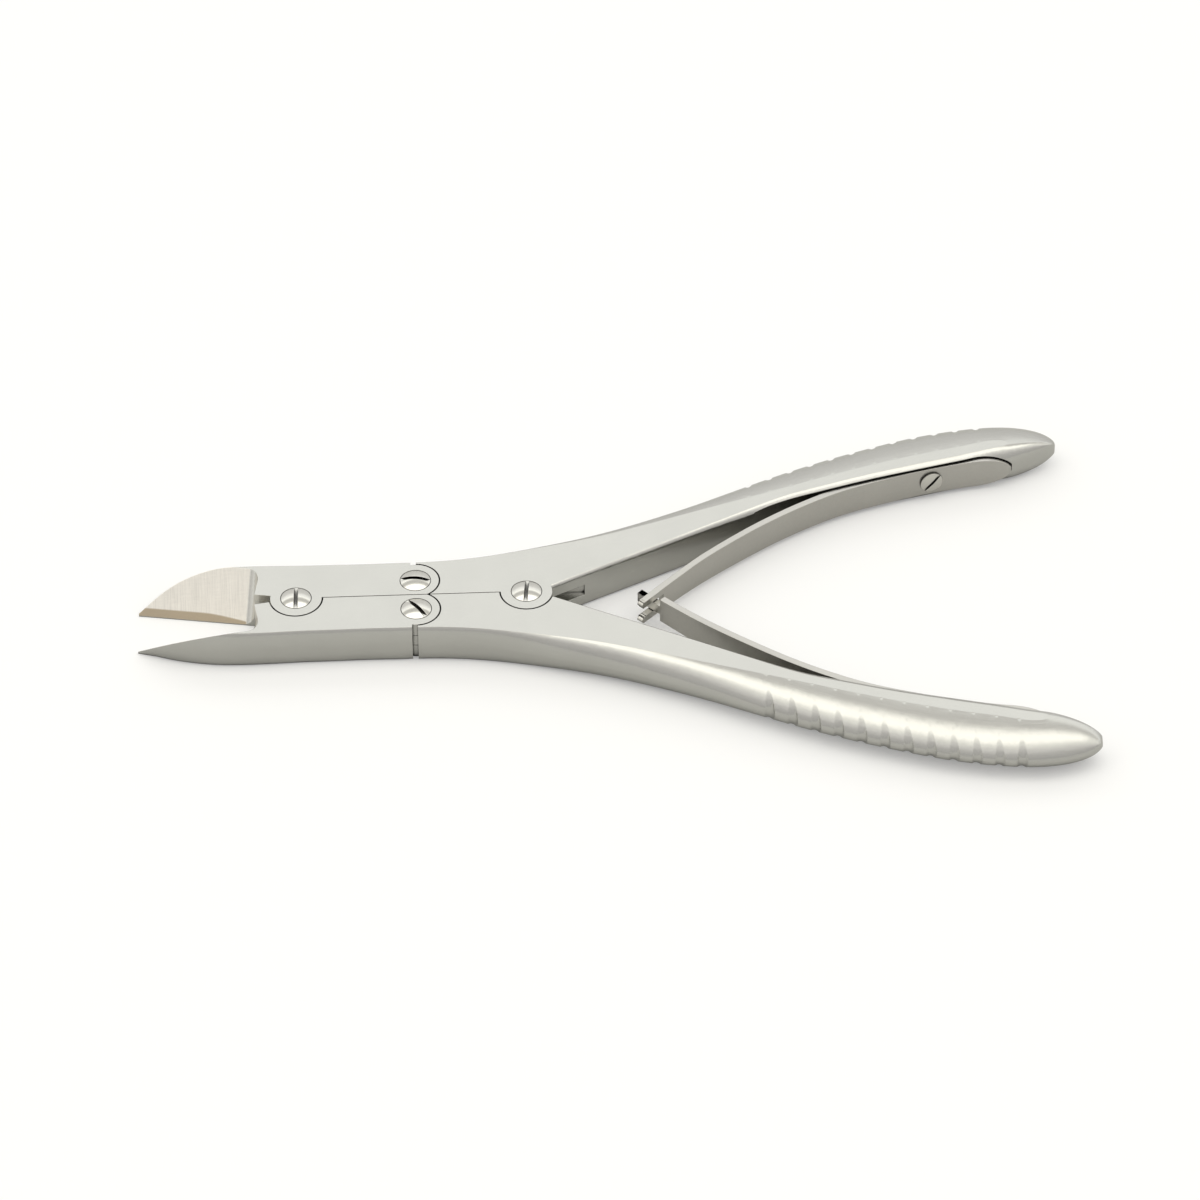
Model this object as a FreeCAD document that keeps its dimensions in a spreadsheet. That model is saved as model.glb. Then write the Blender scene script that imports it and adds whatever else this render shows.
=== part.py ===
import FreeCAD, Part
import Sketcher
import math
import os

# Bone cutting forceps, double action, millimetres
# X runs from the jaws to the handles, Y across, Z up from the back face
# The right half lies on +Y and the left half on -Y, blades fully open
# Pieces are worked out about the handle pivot, on the back face, and then placed
# so that the origin is the middle of the whole part, on the face it lies on

doc = FreeCAD.newDocument("bone_cutting_forceps")
Vector = FreeCAD.Vector


# Driving dimensions
SIZES = [
    # plate thickness and the layers of the four forked joints
    ("body_thickness", 8.4),
    ("tongue_thickness", 2.4),
    ("layer_gap", 0.1),
    ("flat_grind", 0.06),
    ("ear_radius", 5.05),
    ("link_ear_radius", 4.6),
    ("ear_gap", 0.3),
    ("parting_gap", 0.08),
    # pivot positions
    ("jaw_pitch", 23.45),
    ("link_pitch", 21.7),
    ("link_offset", 4.12),
    ("split_lead", 0.9),
    ("joint_split", 1.1),
    # jaws
    ("jaw_reach", 31.2),
    ("shoulder_reach", 8.3),
    ("open_angle", 9.5),
    ("bite_gap", 0.06),
    ("facet_angle", 48.0),
    ("edge_land", 0.25),
    ("shoulder_radius", 2.4),
    ("side_bulge", 0.8),
    # handles
    ("handle_reach", 108.65),
    ("handle_spread", 43.2),
    ("end_length", 12.7),
    ("inner_start", 5.1),
    ("fork_slot_reach", 11.6),
    # pivot screws
    ("head_radius", 2.95),
    ("head_seat", 0.8),
    ("dome_height", 0.75),
    ("shank_radius", 2.0),
    ("screw_slot_width", 0.8),
    ("screw_slot_depth", 0.75),
    ("hole_fit", 0.05),
    ("open_pivot_fit", 0.1),
    ("head_gap", 0.12),
    # leaf springs
    ("leaf_thickness", 1.3),
    ("leaf_width", 6.5),
    ("leaf_tip_width", 5.3),
    ("leaf_end_length", 7.5),
    ("leaf_hinge_reach", 70.0),
    ("leaf_hinge_gap", 0.12),
    ("fork_width", 2.6),
    ("fork_root", 2.0),
    ("tongue_width", 2.1),
    ("tongue_tip", 1.7),
    ("tongue_root", 2.2),
    ("seat_gap", 0.1),
    ("seat_lift", 0.05),
    ("swing_room", 1.5),
    ("swing_run", 14.0),
    ("recess_margin", 0.4),
    ("recess_end_gap", 0.4),
    # spring screws
    ("spring_screw_reach", 82.4),
    ("spring_head_radius", 2.3),
    ("spring_head_height", 0.7),
    ("spring_shank_radius", 1.2),
    ("spring_shank_length", 5.0),
    ("spring_slot_width", 0.6),
    ("spring_slot_depth", 0.4),
    # grip grooves
    ("groove_count", 12),
    ("groove_start", 45.3),
    ("groove_pitch", 4.32),
    ("groove_radius", 1.25),
    ("groove_depth", 0.5),
    ("groove_fade", 0.45),
]

sheet = doc.addObject("Spreadsheet::Sheet", "Sizes")
for row, (alias, value) in enumerate(SIZES, start=1):
    sheet.set(f"A{row}", alias)
    sheet.set(f"B{row}", str(value))
    sheet.setAlias(f"B{row}", alias)
doc.recompute()


def size(alias):
    """The value that the sheet holds for an alias."""
    return float(sheet.get(alias))


# Plan lines of the right handle: distance behind the pivot, then inner side,
# outer limit of the front flat, outermost line and inner edge rounding
HANDLE_PLAN = [
    (-28.0, -16.2, 9.3, 10.15, 0.9),
    (-16.0, -9.9, 9.6, 10.5, 0.9),
    (-7.0, -5.1, 10.7, 11.7, 0.9),
    (0.0, -1.4, 12.1, 13.5, 0.9),
    (7.0, 2.2, 13.6, 15.7, 0.9),
    (14.0, 5.8, 15.3, 18.0, 0.9),
    (23.0, 10.3, 18.2, 21.6, 1.0),
    (33.0, 15.4, 21.7, 26.2, 1.1),
    (44.0, 20.8, 25.5, 31.9, 1.5),
    (52.0, 24.4, 28.3, 35.9, 2.0),
    (61.0, 27.3, 31.5, 39.8, 2.5),
    (70.0, 29.9, 34.5, 43.2, 2.9),
    (80.0, 32.4, 37.4, 46.4, 3.1),
    (89.0, 34.7, 39.6, 48.2, 3.2),
    (96.0, 36.7, 41.2, 48.7, 3.2),
]
PLAN_REACH = 108.65
PLAN_SPREAD = 43.2

# Plan lines of the right jaw: distance ahead of the jaw pivot, outermost line
JAW_PLAN = [
    (-23.0, 10.15),
    (-11.0, 10.15),
    (1.0, 10.3),
    (9.0, 10.5),
    (15.0, 10.3),
    (19.0, 9.75),
    (23.0, 8.85),
    (26.5, 7.7),
    (29.2, 6.6),
    (31.2, 5.6),
]

# Handle side face of the right leaf spring, from its tip to its seated end
LEAF_PLAN = [
    (21.6, -2.3),
    (28.6, 4.6),
    (34.7, 10.2),
    (43.0, 16.7),
    (50.0, 21.6),
    (57.0, 25.8),
    (64.0, 29.3),
    (72.0, 32.2),
    (80.5, 34.7),
    (89.0, 36.6),
    (99.2, 38.1),
]


def smooth(stations, values, place):
    """Cubic Hermite line through the stations, slopes from their neighbours."""
    last = len(stations) - 1
    index = 0
    while index < last - 1 and place > stations[index + 1]:
        index += 1

    def slope(at):
        low = max(at - 1, 0)
        high = min(at + 1, last)
        return (values[high] - values[low]) / (stations[high] - stations[low])

    span = stations[index + 1] - stations[index]
    part = (place - stations[index]) / span
    start_weight = 2 * part ** 3 - 3 * part ** 2 + 1
    start_slope_weight = part ** 3 - 2 * part ** 2 + part
    end_slope_weight = part ** 3 - part ** 2
    return (start_weight * values[index] + (1 - start_weight) * values[index + 1]
            + span * (start_slope_weight * slope(index) + end_slope_weight * slope(index + 1)))


def place_feature(name, shape):
    """A document object that holds a shape worked out here."""
    feature = doc.addObject("Part::Feature", name)
    feature.Shape = shape
    return feature


def cylinder(name, radius, height, x="0", y="0", z="0"):
    """An upright cylinder whose sizes and place are expressions."""
    item = doc.addObject("Part::Cylinder", name)
    item.setExpression("Radius", radius)
    item.setExpression("Height", height)
    item.setExpression("Placement.Base.x", x)
    item.setExpression("Placement.Base.y", y)
    item.setExpression("Placement.Base.z", z)
    return item


def box(name, lengths, corner, turn=None, centre=("0", "0")):
    """A box from its three lengths and low corner, turned about an upright axis."""
    item = doc.addObject("Part::Box", name)
    for prop, expression in zip(("Length", "Width", "Height"), lengths):
        item.setExpression(prop, expression)
    if turn is None:
        for axis, expression in zip("xyz", corner):
            item.setExpression("Placement.Base." + axis, expression)
        return item
    item.setExpression("Placement.Rotation.Axis.x", "0")
    item.setExpression("Placement.Rotation.Axis.y", "0")
    item.setExpression("Placement.Rotation.Axis.z", "1")
    item.setExpression("Placement.Rotation.Angle", turn)
    low_x, low_y, low_z = corner
    item.setExpression(
        "Placement.Base.x",
        f"{centre[0]} + ({low_x}) * cos({turn}) - ({low_y}) * sin({turn})")
    item.setExpression(
        "Placement.Base.y",
        f"{centre[1]} + ({low_x}) * sin({turn}) + ({low_y}) * cos({turn})")
    item.setExpression("Placement.Base.z", low_z)
    return item


def fuse(name, *items):
    item = doc.addObject("Part::MultiFuse", name)
    item.Shapes = list(items)
    return item


def cut(name, base, *tools):
    """The base with each tool taken away."""
    tool = tools[0]
    if len(tools) > 1:
        tool = fuse(name + "_tools", *tools)
    item = doc.addObject("Part::Cut", name)
    item.Base = base
    item.Tool = tool
    return item


def common(name, first, second):
    item = doc.addObject("Part::Common", name)
    item.Base = first
    item.Tool = second
    return item


def ground(name, item):
    """The item with both flats ground to the body's thickness."""
    slab = box(name + "_slab", ("400", "200", THICK), ("-200", "-100", "0"))
    return common(name, item, slab)


def mirrored(name, source):
    """The same solid on the other side of the long axis."""
    item = doc.addObject("Part::Mirroring", name)
    item.Source = source
    item.Normal = Vector(0, 1, 0)
    item.Base = Vector(0, 0, 0)
    return item


# Expressions that several pieces share
S = "<<Sizes>>."
THICK = S + "body_thickness"
TONGUE = S + "tongue_thickness"
TONGUE_LOW = f"({THICK} - {TONGUE}) / 2"
SLOT_LOW = f"({TONGUE_LOW} - {S}layer_gap)"
SLOT_HIGH = f"({THICK} - {SLOT_LOW})"
SLOT_TALL = f"({SLOT_HIGH} - {SLOT_LOW})"
LINK_X = f"(0 - {S}link_pitch)"
JAW_X = f"(0 - {S}link_pitch - {S}jaw_pitch)"
SPLIT_X = f"({LINK_X} - {S}split_lead)"
PIVOT_X = f"(({S}link_pitch + {S}jaw_pitch + {S}jaw_reach - {S}handle_reach) / 2)"
FAR = "60"


# Handle blanks
def quarter_poles(centre_y, centre_z, reach_y, reach_z):
    """Control points of a quarter ellipse that starts across and ends upright."""
    return [
        Vector(0, centre_y + reach_y, centre_z),
        Vector(0, centre_y + reach_y, centre_z + reach_z),
        Vector(0, centre_y, centre_z + reach_z),
    ]


def conic(points, x):
    """A quarter ellipse from its three control points, in the plane at x."""
    curve = Part.BSplineCurve()
    poles = [Vector(x, point.y, point.z) for point in points]
    curve.buildFromPolesMultsKnots(poles, [3, 3], [0, 1], False, 2, [1, math.sqrt(0.5), 1])
    return curve.toShape()


def section(x, inner, flat, outer, rounding, half_tall):
    """One cross section: rounded inner edges and an elliptical outer side.

    It stands a little proud of both flats, which are ground to size later, so
    the ellipse is widened until its ground edge lies at the flat's own limit.
    """
    grind = size("flat_grind")
    middle = size("body_thickness") / 2
    tall = half_tall + grind
    share = math.sqrt(1 - (half_tall / tall) ** 2)
    width = (outer - flat) / (1 - share)
    centre = outer - width
    upright = min(rounding, 0.85 * half_tall)
    shelf = inner + min(rounding, 0.9 * (centre - inner))
    side = middle + tall - upright
    bottom_side = middle - tall + upright
    outer_top = conic(quarter_poles(centre, middle, width, tall), x)
    outer_low = conic(quarter_poles(centre, middle, width, -tall), x)
    inner_top = conic(quarter_poles(shelf, side, inner - shelf, upright), x)
    inner_low = conic(quarter_poles(shelf, bottom_side, inner - shelf, -upright), x)
    lines = [
        Part.makeLine(Vector(x, shelf, middle + tall), Vector(x, centre, middle + tall)),
        Part.makeLine(Vector(x, shelf, middle - tall), Vector(x, centre, middle - tall)),
        Part.makeLine(Vector(x, inner, bottom_side), Vector(x, inner, side)),
    ]
    ordered = [lines[2], inner_top, lines[0], outer_top, outer_low, lines[1], inner_low]
    return Part.Wire(Part.__sortEdges__(ordered))


def handle_station(x):
    """Inner side, front flat, outer line and rounding of the handle at x."""
    stretch = size("handle_reach") / PLAN_REACH
    widen = size("handle_spread") / PLAN_SPREAD
    stations = [row[0] if row[0] < 0 else row[0] * stretch for row in HANDLE_PLAN]
    found = []
    for column in range(1, 5):
        values = [row[column] for row in HANDLE_PLAN]
        found.append(smooth(stations, values, x))
    grow = max(0.0, x) / size("handle_reach") * (widen - 1)
    centre = (found[0] + found[2]) / 2
    for column in range(3):
        found[column] += centre * grow
    return found


def handle_blank():
    """The forged handle as one smooth body through its cross sections."""
    reach = size("handle_reach")
    half_tall = size("body_thickness") / 2
    end_start = reach - size("end_length")
    front = -size("link_pitch") - size("link_ear_radius")
    steps = 20
    sections = []
    for step in range(steps + 1):
        x = front + (end_start - front) * step / steps
        inner, flat, outer, rounding = handle_station(x)
        sections.append(section(x, inner, flat, outer, rounding, half_tall))
    inner, flat, outer, rounding = handle_station(end_start)
    tip_y = size("handle_spread")
    angles = (14, 27, 39, 50, 60, 69, 77)
    for angle in angles:
        part = math.sin(math.radians(angle))
        x = end_start + size("end_length") * part / math.sin(math.radians(angles[-1]))
        outer_here = tip_y + (outer - tip_y) * math.sqrt(1 - part ** 2)
        inner_here = tip_y - (tip_y - inner) * (1 - part ** 1.3) ** 0.75
        width = (outer_here - inner_here) / (outer - inner)
        flat_here = inner_here + (flat - inner) * width
        tall_here = half_tall * (1 - part ** 2.2) ** 0.5
        rounding_here = rounding * width
        sections.append(section(x, inner_here, flat_here, outer_here, rounding_here, tall_here))
    return Part.makeLoft(sections, True, False)


# Jaw blanks
def jaw_blank():
    """The jaw as one smooth body, before its inner face and facet are cut."""
    pivot_x = -size("link_pitch") - size("jaw_pitch")
    end_x = -size("link_pitch") - size("split_lead")
    reach = size("jaw_reach")
    stretch = reach / JAW_PLAN[-1][0]
    stations = [row[0] if row[0] < 0 else row[0] * stretch for row in JAW_PLAN]
    outers = [row[1] for row in JAW_PLAN]
    bulge = size("side_bulge")
    inner_spare = 4.0
    inner_rounding = 0.3
    back = pivot_x - end_x
    steps = 14
    sections = []
    for step in range(steps + 1):
        part = math.sin(math.pi / 2 * step / steps)
        ahead = back + (reach - back) * part
        outer = smooth(stations, outers, ahead)
        edge = size("bite_gap") + max(ahead, 0.0) * math.tan(math.radians(size("open_angle")))
        flat = outer - min(bulge, (outer - edge) / 3)
        sections.append(section(pivot_x - ahead, -inner_spare, flat, outer, inner_rounding,
                                size("body_thickness") / 2))
    return Part.makeLoft(sections, True, False)


# Jaws: rounded blank and rear ears, trimmed along the parting and bite planes
jaw_body = place_feature("jaw_blank", jaw_blank())
jaw_link_ear = cylinder("jaw_link_ear", S + "link_ear_radius", THICK, LINK_X, S + "link_offset")
jaw_ground = ground("jaw_ground", jaw_body)
jaw_outline = fuse("jaw_outline", jaw_ground, jaw_link_ear)
rear_trim = box(
    "jaw_rear_trim", (FAR, "20", FAR), (JAW_X, f"{S}parting_gap - 20", "-20"))
bite_trim = box(
    "jaw_bite_trim", (FAR, "20", FAR), ("-60", f"{S}bite_gap - 20", "-20"),
    f"(0 - {S}open_angle)", (JAW_X, "0"))
link_slot = cylinder(
    "jaw_link_slot", f"{S}link_ear_radius + {S}ear_gap", SLOT_TALL,
    LINK_X, S + "link_offset", SLOT_LOW)


def facet_tool():
    """What is ground off the front of the blade, in the open position."""
    reach = size("jaw_reach") + 10
    shoulder = size("shoulder_reach")
    slab = Part.makeBox(reach, 40, 40, Vector(-reach - shoulder, -12, 0))
    corner = [edge for edge in slab.Edges
              if all(abs(vertex.X + shoulder) < 1e-6 and abs(vertex.Z) < 1e-6
                     for vertex in edge.Vertexes)]
    slab = slab.makeFillet(size("shoulder_radius"), corner)
    slab.rotate(Vector(0, 0, 0), Vector(1, 0, 0), size("facet_angle"))
    slab.translate(Vector(0, size("bite_gap"), size("edge_land")))
    slab.rotate(Vector(0, 0, 0), Vector(0, 0, 1), -size("open_angle"))
    slab.translate(Vector(-size("link_pitch") - size("jaw_pitch"), 0, 0))
    return slab


facet = place_feature("blade_facet", facet_tool())
right_jaw_side = cut("right_jaw_side", jaw_outline, rear_trim, bite_trim, link_slot, facet)
left_jaw_side = mirrored("left_jaw_side", right_jaw_side)


def screw_holes(name, fit, x, y):
    """Through hole and head seat for a pivot screw."""
    bore = cylinder(name + "_bore", f"{S}shank_radius + {fit}", "60", x, y, "-20")
    seat = cylinder(name + "_seat", f"{S}head_radius + {S}head_gap", "20", x, y,
                    f"{THICK} - {S}head_seat")
    return [bore, seat]


def fork(name, side, x, y, *tools):
    """A side with full round ears and a slot for the other side's tongue."""
    ear = cylinder(name + "_ear", S + "ear_radius", THICK, x, y)
    slot = cylinder(name + "_slot", f"{S}ear_radius + {S}ear_gap", SLOT_TALL, x, y, SLOT_LOW)
    whole = fuse(name + "_eared", side, ear)
    return cut(name, whole, slot, *tools)


def tongue(name, side, x, y, *tools):
    """A side relieved round the other side's ears, with a round tongue between them."""
    reach = f"{S}ear_radius + {S}ear_gap"
    low = cylinder(name + "_low_relief", reach, f"{TONGUE_LOW} + 20", x, y, "-20")
    high = cylinder(name + "_high_relief", reach, "20", x, y, f"{TONGUE_LOW} + {TONGUE}")
    relieved = cut(name + "_relieved", side, low, high)
    disc = cylinder(name + "_disc", S + "ear_radius", TONGUE, x, y, TONGUE_LOW)
    whole = fuse(name + "_tongued", relieved, disc)
    return cut(name, whole, *tools)


LINK_Y = S + "link_offset"
LINK_Y_LEFT = f"(0 - {S}link_offset)"
right_jaw = fork(
    "right_jaw", right_jaw_side, JAW_X, "0",
    *screw_holes("right_jaw_pivot", S + "hole_fit", JAW_X, "0"),
    *screw_holes("right_jaw_link", S + "hole_fit", LINK_X, LINK_Y))
left_jaw = tongue(
    "left_jaw", left_jaw_side, JAW_X, "0",
    *screw_holes("left_jaw_pivot", S + "open_pivot_fit", JAW_X, "0"),
    *screw_holes("left_jaw_link", S + "hole_fit", LINK_X, LINK_Y_LEFT))

# Handles: blank and front tongue, trimmed along the parting plane
handle_body = place_feature("handle_blank", handle_blank())
front_trim = box(
    "handle_front_trim", (FAR, FAR, FAR),
    (f"{SPLIT_X} + {S}joint_split - 60", "-20", "-20"))
cheek_reach = f"{S}link_ear_radius + {S}ear_gap"
low_relief = cylinder("handle_low_relief", cheek_reach, f"{TONGUE_LOW} + 20",
                      LINK_X, LINK_Y, "-20")
high_relief = cylinder("handle_high_relief", cheek_reach, "20",
                       LINK_X, LINK_Y, f"{TONGUE_LOW} + {TONGUE}")
handle_ground = ground("handle_ground", handle_body)
handle_relieved = cut("handle_relieved", handle_ground, front_trim, low_relief, high_relief)
handle_disc = cylinder("handle_link_tongue", S + "link_ear_radius", TONGUE,
                       LINK_X, LINK_Y, TONGUE_LOW)
handle_outline = fuse("handle_outline", handle_relieved, handle_disc)
parting_trim = box(
    "handle_parting_trim", (f"60 + {S}inner_start", FAR, FAR),
    ("-60", f"{S}parting_gap - 60", "-20"))


# Leaf springs
LEAF_X = [point[0] for point in LEAF_PLAN]
LEAF_Y = [point[1] for point in LEAF_PLAN]


def leaf_point(x, offset):
    """A point beside the leaf's handle side face, offset towards the handle."""
    step = 0.05
    rise = (smooth(LEAF_X, LEAF_Y, x + step) - smooth(LEAF_X, LEAF_Y, x - step)) / (2 * step)
    length = math.hypot(1, rise)
    y = smooth(LEAF_X, LEAF_Y, x)
    return Vector(x - offset * rise / length, y + offset / length, 0)


def spread(low, high, count):
    return [low + (high - low) * step / (count - 1) for step in range(count)]


def leaf_line(low, high, offset):
    """The leaf's line from low to high, moved sideways by an offset."""
    curve = Part.BSplineCurve()
    curve.interpolate([leaf_point(x, offset) for x in spread(low, high, 15)])
    return curve.toShape()


def band(low, high, near, far):
    """The plan of a strip that follows the leaf between two offsets."""
    first = leaf_line(low, high, near)
    second = leaf_line(low, high, far)
    ends = [
        Part.makeLine(leaf_point(low, near), leaf_point(low, far)),
        Part.makeLine(leaf_point(high, near), leaf_point(high, far)),
    ]
    edges = Part.__sortEdges__([first, second] + ends)
    return Part.Face(Part.Wire(edges))


def leaf_outline():
    """The leaf seen from its face: tapered to the tip, rounded at the seated end."""
    middle = size("body_thickness") / 2
    half = size("leaf_width") / 2
    tip = size("leaf_tip_width") / 2
    start = LEAF_X[0] - 5
    full = LEAF_X[3]
    end = LEAF_X[-1] - size("leaf_end_length")
    last = LEAF_X[-1]
    corner = [
        Vector(full, 0, middle + half),
        Vector(start, 0, middle + tip),
        Vector(start, 0, middle - tip),
        Vector(full, 0, middle - half),
    ]
    curve = Part.BSplineCurve()
    poles = [
        Vector(end, 0, middle - half),
        Vector(last, 0, middle - half),
        Vector(last, 0, middle),
        Vector(last, 0, middle + half),
        Vector(end, 0, middle + half),
    ]
    weight = math.sqrt(0.5)
    curve.buildFromPolesMultsKnots(
        poles, [3, 2, 3], [0, 1, 2], False, 2, [1, weight, 1, weight, 1])
    edges = [
        Part.makeLine(corner[0], corner[1]),
        Part.makeLine(corner[1], corner[2]),
        Part.makeLine(corner[2], corner[3]),
        Part.makeLine(corner[3], poles[0]),
        curve.toShape(),
        Part.makeLine(poles[4], corner[0]),
    ]
    face = Part.Face(Part.Wire(Part.__sortEdges__(edges)))
    face.translate(Vector(0, -20, 0))
    return face.extrude(Vector(0, 80, 0))


def crossing():
    """Where the middle of the leaf crosses the long axis, with its direction there."""
    low = LEAF_X[0]
    high = LEAF_X[1]
    half = size("leaf_thickness") / 2
    for _ in range(50):
        middle = (low + high) / 2
        if leaf_point(middle, -half).y < 0:
            low = middle
        else:
            high = middle
    ahead = leaf_point(low + 0.5, -half)
    here = leaf_point(low, -half)
    return here, math.degrees(math.atan2(ahead.y - here.y, ahead.x - here.x))


def at_crossing(length, low, width):
    """A block across the leaf's middle layer, laid along the leaf at its crossing."""
    here, angle = crossing()
    block = Part.makeBox(length, 12, width, Vector(low, -6, -width / 2))
    block.rotate(Vector(0, 0, 0), Vector(0, 0, 1), angle)
    block.translate(Vector(here.x, here.y, size("body_thickness") / 2))
    return block


def leaf_strip(low, high):
    """The plain leaf between two places along it."""
    strip = band(low, high, 0, -size("leaf_thickness"))
    return strip.extrude(Vector(0, 0, size("body_thickness"))).common(leaf_outline())


def whole_moving_leaf():
    return leaf_strip(LEAF_X[0], size("leaf_hinge_reach") - size("leaf_hinge_gap"))


def seated_leaf():
    return leaf_strip(size("leaf_hinge_reach"), LEAF_X[-1])


def forked_leaf():
    """The moving stretch of the right leaf, with the slot in its tip."""
    root = size("fork_root")
    return whole_moving_leaf().cut(at_crossing(20 + root, -20, size("fork_width")))


def tongued_leaf():
    """The moving stretch of the left leaf, narrowed to a tongue at its tip."""
    leaf = whole_moving_leaf()
    root = size("tongue_root")
    shoulder = at_crossing(20 + root, -20, 20).cut(
        at_crossing(20 + root, -20, size("tongue_width")))
    tip = at_crossing(20, -20 - size("tongue_tip"), 20)
    leaf = leaf.cut(shoulder).cut(tip)
    return leaf.mirror(Vector(0, 0, 0), Vector(0, 1, 0))


def spring_recess():
    """What the handle loses on its inner side to seat the leaf and let it swing."""
    middle = size("body_thickness") / 2
    hinge = size("leaf_hinge_reach")
    last = LEAF_X[-1]
    seat = size("seat_gap")
    room = size("swing_room")
    floor = []
    run = size("swing_run")
    for x in spread(hinge - 1.6 * run, hinge, 9):
        share = (hinge - x) / run
        floor.append(leaf_point(x, seat + room * share))
    floor += [leaf_point(x, seat) for x in spread(hinge + 3.5, last, 7)]
    curve = Part.BSplineCurve()
    curve.interpolate(floor)
    edge = curve.toShape()
    first = floor[0]
    final = floor[-1]
    edges = [
        edge,
        Part.makeLine(final, Vector(final.x + 6, final.y - 16, 0)),
        Part.makeLine(Vector(final.x + 6, final.y - 16, 0), Vector(first.x + 6, first.y - 16, 0)),
        Part.makeLine(Vector(first.x + 6, first.y - 16, 0), first),
    ]
    plan = Part.Face(Part.Wire(Part.__sortEdges__(edges)))
    plan.translate(Vector(0, 0, -10))
    prism = plan.extrude(Vector(0, 0, 40))
    half = size("leaf_width") / 2 + size("recess_margin")
    end = last - size("leaf_end_length") - size("recess_margin")
    rim = last + size("recess_end_gap")
    curve = Part.BSplineCurve()
    poles = [
        Vector(end, 0, middle - half),
        Vector(rim, 0, middle - half),
        Vector(rim, 0, middle),
        Vector(rim, 0, middle + half),
        Vector(end, 0, middle + half),
    ]
    weight = math.sqrt(0.5)
    curve.buildFromPolesMultsKnots(
        poles, [3, 2, 3], [0, 1, 2], False, 2, [1, weight, 1, weight, 1])
    low_corner = Vector(40, 0, middle - half)
    high_corner = Vector(40, 0, middle + half)
    outline = Part.Face(Part.Wire(Part.__sortEdges__([
        curve.toShape(),
        Part.makeLine(poles[4], high_corner),
        Part.makeLine(high_corner, low_corner),
        Part.makeLine(low_corner, poles[0]),
    ])))
    outline.translate(Vector(0, -20, 0))
    return prism.common(outline.extrude(Vector(0, 90, 0)))


def spring_screw_frame():
    """Point on the leaf's outer face under the screw head, and the way the head looks."""
    x = size("spring_screw_reach")
    face = leaf_point(x, -size("leaf_thickness"))
    behind = leaf_point(x, 0)
    outward = (face - behind).normalize()
    return Vector(face.x, face.y, size("body_thickness") / 2), outward


def spring_screw_hole(radius_fit):
    """Hole for the spring screw's shank through leaf and handle."""
    point, outward = spring_screw_frame()
    start = point + outward * 5
    radius = size("spring_shank_radius") + radius_fit
    length = 5 + size("leaf_thickness") + size("spring_shank_length") + 0.2
    return Part.makeCylinder(radius, length, start, outward * -1)


def grip_groove(x):
    """A round cutter led round the elliptical outer side of the right handle at x."""
    radius = size("groove_radius")
    middle = size("body_thickness") / 2
    flat, outer = handle_station(x)[1:3]
    stand_off = radius - size("groove_depth")
    wide = outer - flat + stand_off
    tall = middle + stand_off + size("groove_fade")
    poles = [
        Vector(x, flat, middle - tall),
        Vector(x, flat + wide, middle - tall),
        Vector(x, flat + wide, middle),
        Vector(x, flat + wide, middle + tall),
        Vector(x, flat, middle + tall),
    ]
    weight = math.sqrt(0.5)
    path = Part.BSplineCurve()
    path.buildFromPolesMultsKnots(
        poles, [3, 2, 3], [0, 1, 2], False, 2, [1, weight, 1, weight, 1])
    ring = Part.Wire(Part.makeCircle(radius, poles[0], Vector(0, 1, 0)))
    return Part.Wire(path.toShape()).makePipeShell([ring], True, False)


def grip_grooves():
    """Evenly spaced grooves along the outer side of the right handle."""
    start = size("groove_start")
    pitch = size("groove_pitch")
    tools = [grip_groove(start + pitch * index) for index in range(int(size("groove_count")))]
    return Part.makeCompound(tools)


recess = place_feature("spring_recess", spring_recess())
screw_hole = place_feature("spring_screw_hole", spring_screw_hole(size("hole_fit")))
grooves = place_feature("grip_grooves", grip_grooves())
right_handle_side = cut(
    "right_handle_side", handle_outline, parting_trim, recess, screw_hole, grooves)
left_handle_side = mirrored("left_handle_side", right_handle_side)
fork_relief = box(
    "handle_fork_relief",
    (S + "fork_slot_reach", f"2 * ({S}ear_radius + {S}ear_gap)", SLOT_TALL),
    ("0", f"(0 - {S}ear_radius - {S}ear_gap)", SLOT_LOW))
right_handle = fork(
    "right_handle", right_handle_side, "0", "0", fork_relief,
    *screw_holes("right_handle_pivot", S + "hole_fit", "0", "0"),
    *screw_holes("right_handle_link", S + "hole_fit", LINK_X, LINK_Y))
left_handle = tongue(
    "left_handle", left_handle_side, "0", "0",
    *screw_holes("left_handle_pivot", S + "hole_fit", "0", "0"),
    *screw_holes("left_handle_link", S + "hole_fit", LINK_X, LINK_Y_LEFT))

leaf_hole = spring_screw_hole(size("hole_fit"))
right_spring_leaf = place_feature("right_spring_leaf", forked_leaf())
left_spring_leaf = place_feature("left_spring_leaf", tongued_leaf())
root = seated_leaf().cut(leaf_hole)
right_spring_root = place_feature("right_spring_root", root)
left_spring_root = place_feature(
    "left_spring_root", root.mirror(Vector(0, 0, 0), Vector(0, 1, 0)))


# Screws
def origin_plane(body, role):
    for item in body.Origin.OriginFeatures:
        if item.Role == role:
            return item
    raise ValueError(role)


def sketch_on(body, name, role):
    sketch = body.newObject("Sketcher::SketchObject", name)
    sketch.AttachmentSupport = [(origin_plane(body, role), "")]
    sketch.MapMode = "FlatFace"
    return sketch


def tie(sketch, kind, *where, expression=None):
    """Adds one constraint, and binds it if it has an expression."""
    index = sketch.addConstraint(Sketcher.Constraint(kind, *where))
    if expression is not None:
        sketch.setExpression(f"Constraints[{index}]", expression)


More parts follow.
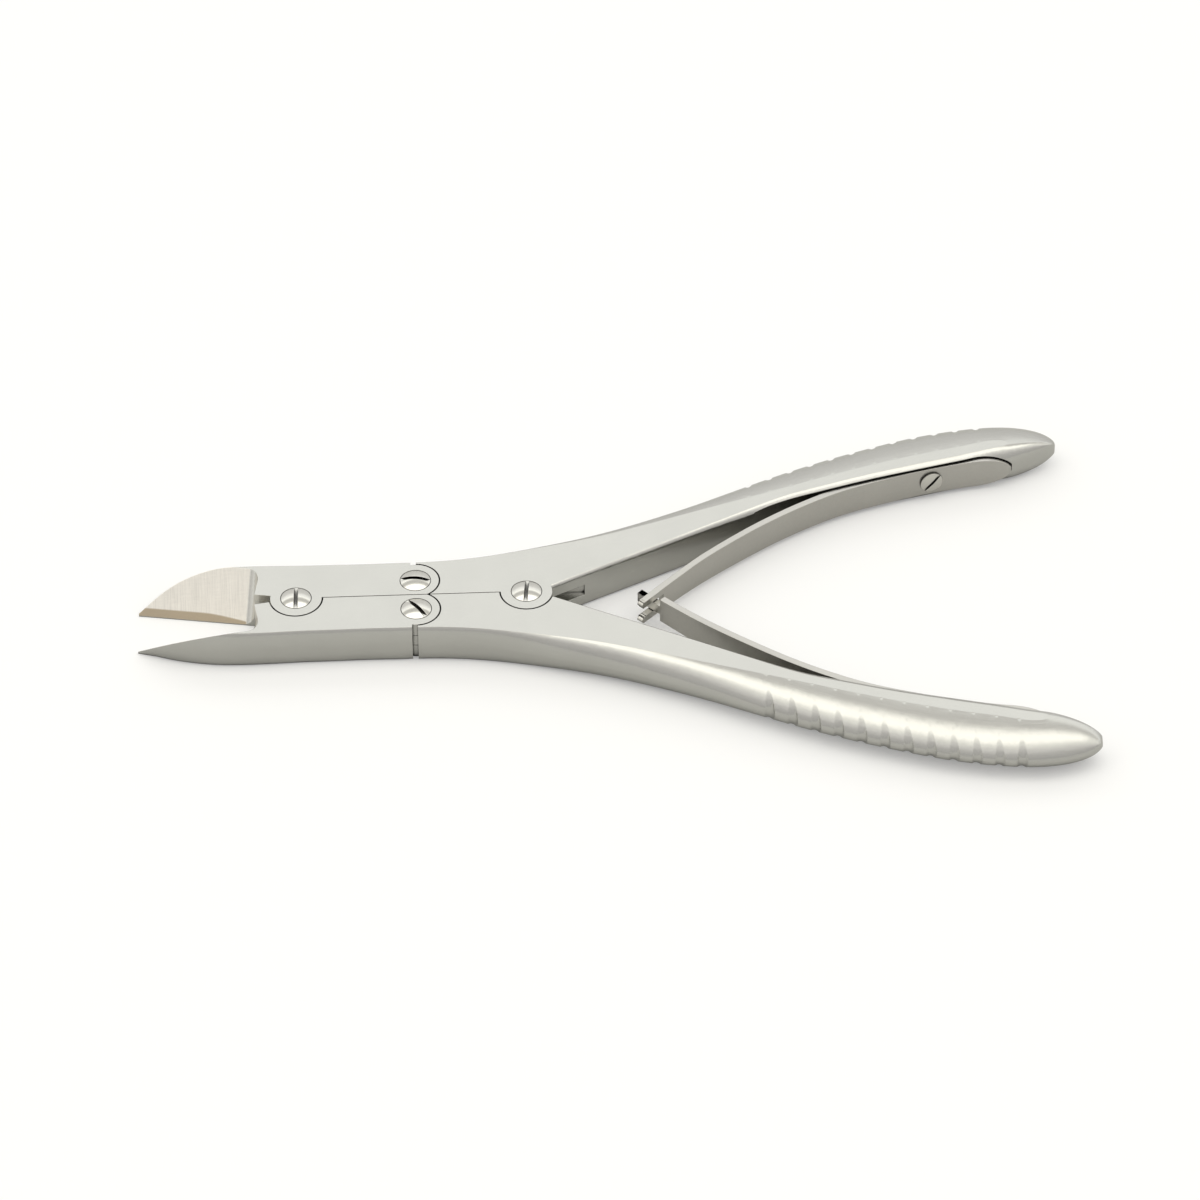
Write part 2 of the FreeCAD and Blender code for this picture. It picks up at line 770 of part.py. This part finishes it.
def slotted_screw(name, sizes):
    """A domed screw turned about Z with a driver slot; sizes are expressions.

    The shank starts at z = low, the head at z = seat, and its dome rises from rim to top.
    """
    body = doc.addObject("PartDesign::Body", name)
    profile = sketch_on(body, name + "_profile", "XZ_Plane")
    low, seat, rim, top = 0.0, 3.0, 3.6, 4.2
    shank, head = 1.0, 2.0
    corners = [(0, low), (shank, low), (shank, seat), (head, seat), (head, rim)]
    for start, finish in zip(corners, corners[1:]):
        profile.addGeometry(Part.LineSegment(Vector(*start, 0), Vector(*finish, 0)), False)
    centre = (rim + top) / 2 - head ** 2 / (2 * (top - rim))
    radius = top - centre
    circle = Part.Circle(Vector(0, centre, 0), Vector(0, 0, 1), radius)
    rim_angle = math.atan2(rim - centre, head)
    profile.addGeometry(Part.ArcOfCircle(circle, rim_angle, math.pi / 2), False)
    profile.addGeometry(Part.LineSegment(Vector(0, top, 0), Vector(0, low, 0)), False)
    for index in range(5):
        tie(profile, "Coincident", index, 2, index + 1, 1)
    tie(profile, "Coincident", 5, 2, 0, 1)
    tie(profile, "Horizontal", 0)
    tie(profile, "Vertical", 1)
    tie(profile, "Horizontal", 2)
    tie(profile, "Vertical", 3)
    tie(profile, "PointOnObject", 5, 1, -2)
    tie(profile, "PointOnObject", 5, 2, -2)
    tie(profile, "PointOnObject", 4, 3, -2)
    tie(profile, "DistanceX", -1, 1, 0, 2, shank, expression=sizes["shank"])
    tie(profile, "DistanceX", -1, 1, 2, 2, head, expression=sizes["head"])
    tie(profile, "DistanceY", -1, 1, 1, 2, seat, expression=sizes["seat"])
    tie(profile, "DistanceY", -1, 1, 3, 2, rim, expression=sizes["rim"])
    tie(profile, "DistanceY", -1, 1, 5, 1, top, expression=sizes["top"])
    tie(profile, "DistanceY", 0, 1, 2, 2, seat - low, expression=sizes["shank_length"])
    turned = body.newObject("PartDesign::Revolution", name + "_turned")
    turned.Profile = profile
    turned.ReferenceAxis = (profile, ["V_Axis"])
    turned.Angle = 360

    groove = sketch_on(body, name + "_slot_outline", "XY_Plane")
    groove.setExpression("AttachmentOffset.Base.z", sizes["top"])
    half_long, half_wide = 3.0, 0.4
    corners = [(-half_long, -half_wide), (half_long, -half_wide),
               (half_long, half_wide), (-half_long, half_wide)]
    for start, finish in zip(corners, corners[1:] + corners[:1]):
        groove.addGeometry(Part.LineSegment(Vector(*start, 0), Vector(*finish, 0)), False)
    for index in range(4):
        tie(groove, "Coincident", index, 2, (index + 1) % 4, 1)
    for index in (0, 2):
        tie(groove, "Horizontal", index)
        tie(groove, "Vertical", index + 1)
    tie(groove, "Symmetric", 0, 1, 2, 1, -1, 1)
    tie(groove, "DistanceX", 0, 1, 0, 2, 2 * half_long, expression=f"3 * {sizes['head']}")
    tie(groove, "DistanceY", 1, 1, 1, 2, 2 * half_wide, expression=sizes["slot_width"])
    doc.recompute()
    pocket = body.newObject("PartDesign::Pocket", name + "_slot")
    pocket.Profile = groove
    pocket.setExpression("Length", sizes["slot_depth"])
    doc.recompute()
    if pocket.Shape.Volume >= turned.Shape.Volume:
        raise ValueError(name + ": the driver slot cut nothing")
    return body


PIVOT_SCREW = {
    "shank": S + "shank_radius",
    "head": S + "head_radius",
    "seat": f"{THICK} - {S}head_seat + {S}seat_lift",
    "rim": THICK,
    "top": f"{THICK} + {S}dome_height",
    "shank_length": f"{THICK} - {S}head_seat",
    "slot_width": S + "screw_slot_width",
    "slot_depth": S + "screw_slot_depth",
}


def pivot_screw(name, x, y, slot_turn):
    """A pivot screw standing at x and y, its slot turned from the long axis."""
    body = slotted_screw(name, PIVOT_SCREW)
    body.Placement = FreeCAD.Placement(
        Vector(0, 0, 0), FreeCAD.Rotation(Vector(0, 0, 1), slot_turn))
    body.setExpression("Placement.Base.x", f"{x} + {PIVOT_X}")
    body.setExpression("Placement.Base.y", y)
    return body


SPRING_SCREW = {
    "shank": S + "spring_shank_radius",
    "head": S + "spring_head_radius",
    "seat": S + "seat_lift",
    "rim": f"{S}spring_head_height * 0.6 + {S}seat_lift",
    "top": f"{S}spring_head_height + {S}seat_lift",
    "shank_length": f"{S}leaf_thickness + {S}spring_shank_length",
    "slot_width": S + "spring_slot_width",
    "slot_depth": S + "spring_slot_depth",
}


def spring_screw(name, side, slot_turn):
    """The screw that holds a leaf; side is 1 on the right and -1 on the left."""
    point, outward = spring_screw_frame()
    point.y *= side
    outward.y *= side
    body = slotted_screw(name, SPRING_SCREW)
    level = FreeCAD.Rotation(Vector(0, 0, 1), outward)
    body.Placement = FreeCAD.Placement(
        point, level.multiply(FreeCAD.Rotation(Vector(0, 0, 1), slot_turn)))
    body.setExpression("Placement.Base.x", f"{point.x} + {PIVOT_X}")
    return body


jaw_screw = pivot_screw("jaw_screw", JAW_X, "0", 88.0)
right_link_screw = pivot_screw("right_link_screw", LINK_X, LINK_Y, 174.0)
left_link_screw = pivot_screw("left_link_screw", LINK_X, LINK_Y_LEFT, 128.0)
handle_screw = pivot_screw("handle_screw", "0", "0", 84.0)
right_spring_screw = spring_screw("right_spring_screw", 1, 60.0)
left_spring_screw = spring_screw("left_spring_screw", -1, 15.0)


# Checks and export
PIECES = [
    right_jaw, left_jaw, right_handle, left_handle,
    jaw_screw, right_link_screw, left_link_screw, handle_screw,
    right_spring_root, right_spring_leaf, left_spring_root, left_spring_leaf,
    right_spring_screw, left_spring_screw,
]

for piece in PIECES:
    if piece.TypeId != "PartDesign::Body":
        piece.setExpression("Placement.Base.x", PIVOT_X)

doc.recompute()
for item in doc.Objects:
    if "Invalid" in item.State or "Error" in item.State:
        raise RuntimeError(f"{item.Label} failed: {item.State}")
for piece in PIECES:
    shape = piece.Shape
    if shape.isNull() or not shape.isValid() or len(shape.Solids) != 1:
        raise RuntimeError(f"{piece.Label} is not one valid solid")

os.makedirs("parts", exist_ok=True)
for piece in PIECES:
    piece.Shape.exportStep(f"parts/{piece.Label}.step")
    bounds = piece.Shape.optimalBoundingBox()
    print(piece.Label, round(piece.Shape.Volume, 2), bounds)
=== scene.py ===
import math

import bpy
import numpy as np
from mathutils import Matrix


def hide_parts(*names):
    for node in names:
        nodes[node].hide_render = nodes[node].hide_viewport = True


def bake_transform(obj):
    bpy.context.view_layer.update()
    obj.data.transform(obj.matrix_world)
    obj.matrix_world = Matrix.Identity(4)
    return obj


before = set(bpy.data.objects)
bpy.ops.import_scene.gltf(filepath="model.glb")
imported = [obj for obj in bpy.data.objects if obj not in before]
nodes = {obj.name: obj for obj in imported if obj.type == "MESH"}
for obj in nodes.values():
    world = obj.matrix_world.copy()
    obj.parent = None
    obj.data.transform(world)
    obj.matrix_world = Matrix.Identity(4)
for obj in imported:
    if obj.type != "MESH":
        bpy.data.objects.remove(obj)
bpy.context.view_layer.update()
scene = bpy.context.scene
MM = 0.001

# Camera
# The photograph looks down at the tool from in front of the near handle, through a
# long lens, so the tool is seen almost without perspective.
camera_data = bpy.data.cameras.new("camera")
camera_data.sensor_width = 36.0
camera_data.lens = 166.86
camera_data.clip_end = 20.0
camera = bpy.data.objects.new("camera", camera_data)
scene.collection.objects.link(camera)
elevation = math.radians(42.198)
yaw = math.radians(-2.596)
distance = 1.1
target = np.array([-1.479, 5.568, 0.4]) * MM
towards_camera = np.array([math.sin(yaw) * math.cos(elevation),
                           -math.cos(yaw) * math.cos(elevation),
                           math.sin(elevation)])
camera.location = target + distance * towards_camera
camera.rotation_euler = (math.pi / 2 - elevation, 0.0, yaw)
scene.camera = camera
scene.view_settings.view_transform = "Standard"


# Table
# A white sheet under the tool. The camera sees it nearly white with the tool's soft
# shadow on it; the steel sees it a good deal darker, as it shows in the photograph.
floor_half = 3.0
floor_mesh = bpy.data.meshes.new("floor")
floor_mesh.from_pydata(
    [(-floor_half, -floor_half, 0), (floor_half, -floor_half, 0),
     (floor_half, floor_half, 0), (-floor_half, floor_half, 0)], [], [(0, 1, 2, 3)])
floor = bpy.data.objects.new("floor", floor_mesh)
floor.location.z = -0.02 * MM
scene.collection.objects.link(floor)


def add(tree, kind, **links):
    """Adds a node; each named socket gets a number, a colour or another node's output."""
    node = tree.nodes.new(kind)
    for name, source in links.items():
        socket = node.inputs[name]
        if isinstance(source, bpy.types.NodeSocket):
            tree.links.new(source, socket)
        else:
            socket.default_value = source
    return node


def maths(tree, operation, first, second=0.0, third=0.0):
    """One Math node; numbers or sockets go in, its output socket comes back."""
    node = tree.nodes.new("ShaderNodeMath")
    node.operation = operation
    for socket, value in zip(node.inputs, (first, second, third)):
        if isinstance(value, bpy.types.NodeSocket):
            tree.links.new(value, socket)
        else:
            socket.default_value = value
    return node.outputs[0]


def mixed(tree, factor, first, second):
    """Colour between first and second."""
    node = tree.nodes.new("ShaderNodeMix")
    node.data_type = "RGBA"
    for socket, value in zip((node.inputs[0], node.inputs[6], node.inputs[7]),
                             (factor, first, second)):
        if isinstance(value, bpy.types.NodeSocket):
            tree.links.new(value, socket)
        else:
            socket.default_value = value
    return node.outputs[2]


paper = bpy.data.materials.new("white_sheet")
paper.use_nodes = True
tree = paper.node_tree
shader = tree.nodes["Principled BSDF"]
shader.inputs["Roughness"].default_value = 0.9
shader.inputs["Specular IOR Level"].default_value = 0.1
seen = tree.nodes.new("ShaderNodeLightPath").outputs["Is Camera Ray"]
tone_for_steel = (0.60, 0.60, 0.59, 1)
tone_for_camera = (0.95, 0.953, 0.96, 1)
camera_glow = 0.22
sheet = mixed(tree, seen, tone_for_steel, tone_for_camera)
tree.links.new(sheet, shader.inputs["Base Color"])
glow = add(tree, "ShaderNodeEmission", Color=(1, 1, 1, 1), Strength=1.0)
blend = add(tree, "ShaderNodeMixShader", Fac=maths(tree, "MULTIPLY", seen, camera_glow))
tree.links.new(shader.outputs["BSDF"], blend.inputs[1])
tree.links.new(glow.outputs["Emission"], blend.inputs[2])
tree.links.new(blend.outputs["Shader"], tree.nodes["Material Output"].inputs["Surface"])
floor_mesh.materials.append(paper)

# Room
# A light tent: pale behind the tool with a darker seam above, a warm softbox overhead
# and a dim side where the camera stands. Angles go up from behind and over the top.
# Angle in degrees, level, and green and blue as shares of it
ROOM_TONES = [
    (0, 0.56, 0.99, 0.96),
    (22, 0.62, 0.99, 0.96),
    (40, 0.92, 1.0, 0.98),
    (49, 1.12, 1.0, 0.95),
    (55, 0.52, 0.98, 0.93),
    (66, 0.52, 0.98, 0.93),
    (76, 0.98, 0.985, 0.92),
    (104, 0.92, 0.985, 0.92),
    (120, 0.72, 0.98, 0.94),
    (145, 0.50, 0.98, 0.94),
    (180, 0.42, 0.98, 0.95),
]
brightest = 1.6
room_gain = 1.3
world = bpy.data.worlds.new("room")
scene.world = world
world.use_nodes = True
tree = world.node_tree
direction = tree.nodes.new("ShaderNodeTexCoord").outputs["Generated"]
split = add(tree, "ShaderNodeSeparateXYZ", Vector=direction)
angle = maths(tree, "ARCTAN2", split.outputs["Z"], split.outputs["Y"])
share = maths(tree, "DIVIDE", angle, math.pi)
tones = add(tree, "ShaderNodeValToRGB", Fac=share)
tones.color_ramp.interpolation = "EASE"
while len(tones.color_ramp.elements) < len(ROOM_TONES):
    tones.color_ramp.elements.new(0.5)
for element, (degrees, level, green, blue) in zip(tones.color_ramp.elements, ROOM_TONES):
    element.position = degrees / 180
    part = room_gain * level / brightest
    element.color = (part, part * green, part * blue, 1)
seen = tree.nodes.new("ShaderNodeLightPath").outputs["Is Camera Ray"]
walls = mixed(tree, seen, tones.outputs["Color"], (1 / brightest,) * 3 + (1,))
background = tree.nodes["Background"]
tree.links.new(walls, background.inputs["Color"])
background.inputs["Strength"].default_value = brightest

softbox = bpy.data.lights.new("overhead", "AREA")
softbox.shape = "RECTANGLE"
softbox.size = 1.7
softbox.size_y = 0.46
softbox.energy = 1.56
softbox.color = (1.0, 0.97, 0.89)
holder = bpy.data.objects.new("overhead", softbox)
holder.location = (0.0, 0.05, 0.95)
holder.rotation_euler = (math.radians(-3), 0, 0)
scene.collection.objects.link(holder)


# Steel
# Stainless steel with a fine satin grind. Lines follow the grind, the colour wanders a
# little, corners are a touch softer and carry a painted highlight, and cracks and slots get
# painted shade.
def ramp(tree, value, low, high, start=0.0, end=1.0):
    """Smooth step of a value between low and high, from start to end."""
    node = tree.nodes.new("ShaderNodeMapRange")
    node.interpolation_type = "SMOOTHSTEP"
    tree.links.new(value, node.inputs["Value"])
    node.inputs["From Min"].default_value = low
    node.inputs["From Max"].default_value = high
    node.inputs["To Min"].default_value = start
    node.inputs["To Max"].default_value = end
    return node.outputs["Result"]


def times(tree, colour, number):
    """A colour made brighter or darker by a number."""
    node = tree.nodes.new("ShaderNodeVectorMath")
    node.operation = "SCALE"
    tree.links.new(number, node.inputs["Scale"])
    if isinstance(colour, bpy.types.NodeSocket):
        tree.links.new(colour, node.inputs[0])
    else:
        node.inputs[0].default_value = colour[:3]
    return node.outputs["Vector"]


def aligned(tree, first, second):
    """How far two directions agree: 1 where they are the same."""
    node = tree.nodes.new("ShaderNodeVectorMath")
    node.operation = "DOT_PRODUCT"
    for socket, value in zip(node.inputs, (first, second)):
        if isinstance(value, bpy.types.NodeSocket):
            tree.links.new(value, socket)
        else:
            socket.default_value = value
    return node.outputs["Value"]


def steel(name, colour, roughness, grind, line_depth, edge=0.12, crack=0.9,
          open_from=0.30, zone=None):
    """Satin steel: grind turns a place into grind coordinates, zone may recolour it.

    line_depth, edge and crack are in millimetres. A place counts as a crack, painted dark as
    shade, below open_from on the occlusion scale, and as open air from a fixed step above it.
    """
    material = bpy.data.materials.new(name)
    material.use_nodes = True
    tree = material.node_tree
    shader = tree.nodes["Principled BSDF"]
    shader.inputs["Metallic"].default_value = 1.0
    coordinates = tree.nodes.new("ShaderNodeTexCoord")
    place = coordinates.outputs["Object"]
    lines = add(tree, "ShaderNodeTexNoise", Vector=grind(tree, place), Scale=1.0, Detail=4.0,
                Roughness=0.6).outputs["Fac"]
    cloud = add(tree, "ShaderNodeTexNoise", Vector=place, Scale=110.0, Detail=3.0)
    speck = add(tree, "ShaderNodeTexNoise", Vector=place, Scale=2400.0, Detail=2.0)
    soft = add(tree, "ShaderNodeBevel", Radius=edge * MM)
    soft.samples = 6
    facing = tree.nodes.new("ShaderNodeNewGeometry").outputs["Normal"]
    # Painted highlight: edges and corners, found from the rounded bevel normal, are painted a
    # little brighter.
    painted_edge_highlight = ramp(tree, aligned(tree, soft.outputs["Normal"], facing), 0.80, 0.995, 1.0, 0.0)
    # Painted shade: places that the occlusion test finds closed in, such as cracks and slots,
    # are painted dark.
    hollow = add(tree, "ShaderNodeAmbientOcclusion", Distance=crack * MM)
    hollow.samples = 8
    open_step = 0.42
    painted_shade_tone = 0.06
    painted_crack_shade = ramp(tree, hollow.outputs["AO"], open_from, open_from + open_step,
                    painted_shade_tone, 1.0)
    tone = maths(tree, "MULTIPLY_ADD", lines, 0.10, 0.95)
    tone = maths(tree, "MULTIPLY", tone,
                 maths(tree, "MULTIPLY_ADD", cloud.outputs["Fac"], 0.08, 0.96))
    tone = maths(tree, "MULTIPLY", tone,
                 maths(tree, "MULTIPLY_ADD", speck.outputs["Fac"], 0.06, 0.97))
    tone = maths(tree, "MULTIPLY_ADD", painted_edge_highlight, 0.06, tone)
    tone = maths(tree, "MULTIPLY", tone, painted_crack_shade)
    base = (*colour, 1)
    rough = maths(tree, "MULTIPLY_ADD", lines, 0.10, roughness - 0.05)
    if zone is not None:
        base, rough = zone(tree, place, coordinates.outputs["Normal"], base, rough)
    tree.links.new(times(tree, base, tone), shader.inputs["Base Color"])
    tree.links.new(rough, shader.inputs["Roughness"])
    relief = maths(tree, "MULTIPLY_ADD", speck.outputs["Fac"], 0.5, lines)
    bump = add(tree, "ShaderNodeBump", Height=relief, Normal=soft.outputs["Normal"],
               Strength=1.0, Distance=line_depth * MM)
    tree.links.new(bump.outputs["Normal"], shader.inputs["Normal"])
    return material


def scaled(tree, place, across):
    """Grind coordinates with this many noise cells to a metre along X, Y and Z."""
    mapping = add(tree, "ShaderNodeMapping", Vector=place)
    mapping.inputs["Scale"].default_value = across
    return mapping.outputs["Vector"]


# Handles
# The grind follows each bowed arm: its lines keep their distance from the arm's middle
# line, which is a cubic through five places along it.
ARM_X = np.array([-38.0, -16.0, 16.0, 45.0, 80.0]) * MM
ARM_Y = np.array([4.6, 6.2, 19.0, 33.5, 43.0]) * MM
arm_curve = np.polyfit(ARM_X, ARM_Y, 3)


def along_arm(tree, place):
    """Long cells along the arm, fine ones across it and in height."""
    split = add(tree, "ShaderNodeSeparateXYZ", Vector=place)
    x = split.outputs["X"]
    middle = float(arm_curve[0])
    for term in arm_curve[1:]:
        middle = maths(tree, "MULTIPLY_ADD", x, middle, float(term))
    side = maths(tree, "ABSOLUTE", split.outputs["Y"])
    off = maths(tree, "SUBTRACT", side, middle)
    joined = add(tree, "ShaderNodeCombineXYZ", X=x, Y=off, Z=split.outputs["Z"])
    return scaled(tree, joined.outputs["Vector"], (140.0, 3600.0, 2600.0))


arm_colour = (0.60, 0.598, 0.572)
arm_roughness = 0.25
arm_line_depth = 0.003
handle_steel = steel("handle_steel", arm_colour, arm_roughness, along_arm, arm_line_depth)
for name in ("right_handle", "left_handle"):
    nodes[name].data.materials[0] = handle_steel


# Jaws
# The bodies are ground lengthways. The bevel of each blade is ground across and carries a
# painted pale, warm sheen, with a tan honed strip along the cutting edge.
bevel_tilt = math.radians(48.0)
bevel_turn = math.radians(9.5)
painted_bevel_sheen = (0.93, 0.90, 0.84)
honed_colour = (0.52, 0.44, 0.33, 1)
honed_end_x = -80 * MM
honed_start_x = -66 * MM
honed_height = 1.15 * MM
bevel_facing = (math.sin(bevel_tilt) * math.sin(bevel_turn),
                math.sin(bevel_tilt) * math.cos(bevel_turn), math.cos(bevel_tilt))


def along_jaw(tree, place):
    """Long cells along the jaw, fine ones across it."""
    return scaled(tree, place, (160.0, 3600.0, 2600.0))


def blade_zone(side):
    """The bevel of one blade with its painted pale sheen; side is 1 on the right and -1 on
    the left.
    """
    def zone(tree, place, normal, base, rough):
        across = scaled(tree, place, (3800.0, 120.0, 120.0))
        scratch = add(tree, "ShaderNodeTexNoise", Vector=across, Scale=1.0, Detail=5.0,
                      Roughness=0.7).outputs["Fac"]
        facing = (-bevel_facing[0], -side * bevel_facing[1], bevel_facing[2])
        bevel = ramp(tree, aligned(tree, normal, facing), 0.965, 0.995)
        split = add(tree, "ShaderNodeSeparateXYZ", Vector=place)
        honed_width = ramp(tree, split.outputs["X"], honed_end_x, honed_start_x,
                           honed_height, 0.0)
        over_edge = maths(tree, "SUBTRACT", split.outputs["Z"], honed_width)
        honed = ramp(tree, over_edge, 0.15 * MM, 0.42 * MM, 1.0, 0.0)
        honed = maths(tree, "MULTIPLY", honed, bevel)
        # Painted sheen: the cross-ground scratches are the bevel's own, its pale warm colour
        # is painted light.
        painted_sheen = times(tree, painted_bevel_sheen, maths(tree, "MULTIPLY_ADD", scratch, 0.5, 0.75))
        base = mixed(tree, bevel, base, painted_sheen)
        base = mixed(tree, honed, base, honed_colour)
        rough = maths(tree, "MULTIPLY_ADD", bevel, 0.2, rough)
        return base, rough
    return zone


for name, side in (("right_jaw", 1), ("left_jaw", -1)):
    nodes[name].data.materials[0] = steel(
        name + "_steel", arm_colour, arm_roughness, along_jaw, arm_line_depth,
        zone=blade_zone(side))


# Screws
# Turned and polished heads, brighter than the arms, with driver slots kept dark by painted
# shade.
def ringed(tree, place):
    """Nearly even cells: a polish with no direction."""
    return scaled(tree, place, (1500.0, 1500.0, 1500.0))


# A wider, stronger painted shade than on the other steels darkens the driver slots.
screw_steel = steel("screw_steel", (0.72, 0.71, 0.67), 0.15, ringed, 0.0008, edge=0.1,
                    crack=1.6, open_from=0.52)
for name in ("jaw_screw", "right_link_screw", "left_link_screw", "handle_screw",
             "right_spring_screw", "left_spring_screw"):
    nodes[name].data.materials[0] = screw_steel


# Leaf springs
# Each spring is one tapered strip of spring steel, screwed to its handle. The right one
# ends in a fork and the left one in a tongue, which cross between the arms.
PIVOT_X = -16.15
# Distance behind the pivot, distance from the long axis and width of the strip
LEAF_LINE = [
    (21.6, -2.3, 5.3),
    (28.6, 4.6, 5.7),
    (34.7, 10.2, 6.2),
    (43.0, 16.7, 6.5),
    (50.0, 21.6, 6.5),
    (57.0, 25.8, 6.5),
    (64.0, 29.3, 6.5),
    (72.0, 32.2, 6.5),
    (80.5, 34.7, 6.5),
    (89.0, 36.6, 6.5),
    (99.2, 38.1, 6.5),
]
leaf_thick = 1.3
leaf_middle = 4.2
leaf_end_length = 7.5
blunt_end = 0.12
slot_end = 26.0
tongue_end = 26.2
slot_half = 1.3
prong_round = 0.9
tongue_half = 1.05
tongue_pull = 1.2
tongue_round = 0.9
shares = np.array([0, 0.08, 0.25, 0.5, 0.75, 0.92, 1.0])
side_rows = len(shares) - 1
seat_x = 76.0
bend_x = 63.0


def eased(column, x):
    """Cubic Hermite line through one column of the leaf's line, as the solid has it."""
    stations = [row[0] for row in LEAF_LINE]
    values = [row[column] for row in LEAF_LINE]
    last = len(stations) - 1
    index = int(np.clip(np.searchsorted(stations, x) - 1, 0, last - 1))

    def slope(at):
        low = max(at - 1, 0)
        high = min(at + 1, last)
        return (values[high] - values[low]) / (stations[high] - stations[low])

    span = stations[index + 1] - stations[index]
    t = (x - stations[index]) / span
    start = 2 * t ** 3 - 3 * t ** 2 + 1
    return (start * values[index] + (1 - start) * values[index + 1]
            + span * ((t ** 3 - 2 * t ** 2 + t) * slope(index)
                      + (t ** 3 - t ** 2) * slope(index + 1)))


def beside(x, offset):
    """The point at an offset from the leaf's handle side, square to it."""
    step = 0.05
    rise = (eased(1, x + step) - eased(1, x - step)) / (2 * step)
    length = math.hypot(1, rise)
    return x - offset * rise / length, eased(1, x) + offset / length


def leaf_limits(x):
    """Lowest and highest line of the leaf at x, with its rounded seated end."""
    half = eased(2, x) / 2
    into = x - (LEAF_LINE[-1][0] - leaf_end_length)
    if into > 0:
        share = min(into / leaf_end_length, 1.0)
        half *= max(math.sqrt(1 - share ** 2), blunt_end)
    return leaf_middle - half, leaf_middle + half


def leaf_mesh(name, side, is_missing, inner_half, tips):
    """A strip of quads on both faces, with walls round its outline.

    Rows run across the strip at fixed shares outside inner_half, which is where the
    fork's slot or the tongue's sides lie; is_missing(x, row, wide) leaves out quads of
    a strip that is wide rows across, and tips(offset, half) rounds the free ends.
    """
    columns = np.concatenate([np.linspace(21.6, 30, 29), np.linspace(30.5, 99, 111)])
    vertices = []
    for face in (0, 1):
        for number, x in enumerate(columns):
            low, high = leaf_limits(x)
            centre = (low + high) / 2
            half = (high - low) / 2
            gap = min(inner_half, 0.45 * half)
            outer = gap + (half - gap) * shares
            rows = np.concatenate([-outer[::-1], [-gap / 2, 0, gap / 2], outer])
            for offset in rows:
                place = x + tips(offset, half) if number == 0 else x
                px, py = beside(place, -leaf_thick * face)
                vertices.append(((PIVOT_X + px) * MM, side * py * MM, (centre + offset) * MM))
    wide = 2 * len(shares) + 3
    long = len(columns)
    faces = []
    edges_used = {}
    for i in range(long - 1):
        for j in range(wide - 1):
            if is_missing((columns[i] + columns[i + 1]) / 2, j, wide):
                continue
            a = i * wide + j
            quad = (a, a + 1, a + wide + 1, a + wide)
            faces.append(quad)
            faces.append(tuple(v + long * wide for v in reversed(quad)))
            for start, end in zip(quad, quad[1:] + quad[:1]):
                if (end, start) in edges_used:
                    del edges_used[(end, start)]
                else:
                    edges_used[(start, end)] = True
    for start, end in edges_used:
        faces.append((end, start, start + long * wide, end + long * wide))
    if side > 0:
        faces = [tuple(reversed(face)) for face in faces]
    mesh = bpy.data.meshes.new(name)
    mesh.from_pydata(vertices, [], faces)
    mesh.validate()
    used = bpy.data.objects.new(name, mesh)
    scene.collection.objects.link(used)
    return used


def missing_fork(x, row, wide):
    """The slot between the right leaf's prongs."""
    return x < slot_end and side_rows <= row <= wide - 2 - side_rows


def missing_tongue(x, row, wide):
    """What the left leaf loses above and below its tongue."""
    return x < tongue_end and (row < side_rows or row > wide - 2 - side_rows)


def fork_tips(offset, half):
    """Round prong ends: each is pulled back towards its two edges."""
    middle = (slot_half + half) / 2
    radius = (half - slot_half) / 2
    share = min(abs(abs(offset) - middle) / radius, 1.0)
    return prong_round * (1 - math.sqrt(1 - share ** 2))


def tongue_tips(offset, half):
    """A round tongue end."""
    share = min(abs(offset) / tongue_half, 1.0)
    return tongue_pull + tongue_round * (1 - math.sqrt(1 - share ** 2))


spring_steel = steel("spring_steel", (0.575, 0.565, 0.535), 0.30, ringed, 0.0012, edge=0.14)
for side, word, missing, inner_half, tips in (
        (1, "right", missing_fork, slot_half, fork_tips),
        (-1, "left", missing_tongue, tongue_half, tongue_tips)):
    spring = leaf_mesh(word + "_leaf_spring", side, missing, inner_half, tips)
    spring.data.materials.append(spring_steel)
    for polygon in spring.data.polygons:
        polygon.use_smooth = True
    soft_edges = spring.modifiers.new("soft_edges", "BEVEL")
    soft_edges.width = 0.16 * MM
    soft_edges.segments = 2
    soft_edges.limit_method = "ANGLE"
    soft_edges.angle_limit = math.radians(50)
    soft_edges.harden_normals = True
    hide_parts(word + "_spring_root", word + "_spring_leaf")
    seated_x, seated_y = beside(seat_x, 0)
    free_x, free_y = beside(bend_x, 0)
    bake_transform(spring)
